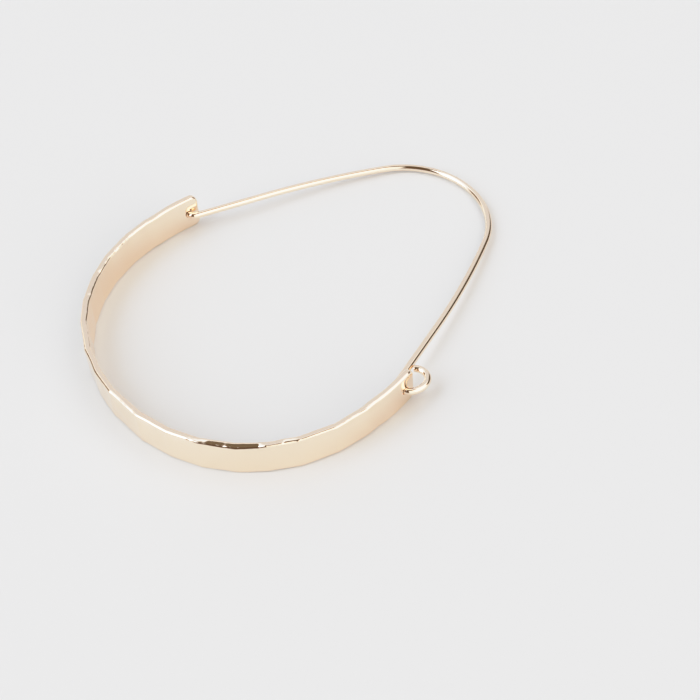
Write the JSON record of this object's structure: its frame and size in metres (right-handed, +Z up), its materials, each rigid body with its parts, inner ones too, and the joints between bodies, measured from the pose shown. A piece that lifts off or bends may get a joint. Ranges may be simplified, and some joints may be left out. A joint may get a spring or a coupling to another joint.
{
  "type": "hinged hoop earring",
  "caption": "Hinged hoop earring: an open loop of flat hammered gold band whose drilled ends carry a bent ear wire, closed in an eye at the hinge end and hooked at the catch end.",
  "frame": {"origin": "middle of the footprint of the hoop lying on its side, on the surface it rests on", "axes": "+X from the catch hole to the hinge hole, +Y from the band to the bend of the ear wire, +Z up across the band's width"},
  "size_m": [0.0407, 0.052, 0.0045],
  "materials": {
    "hammered_band": "gold-filled sheet metal, hammered and polished",
    "round_wire": "gold-filled round wire, drawn and polished"
  },
  "bodies": {
    "hoop": {"hoop_band": "hammered_band"},
    "ear_wire": {"ear_wire": "round_wire"}
  },
  "joints": [
    {"name": "ear_wire_swing", "type": "hinge", "parent": "hoop", "child": "ear_wire", "pos_m": [0, -0.00216, 0.00225], "axis": [1, 0, 0], "range_deg": [-96, 104]}
  ]
}
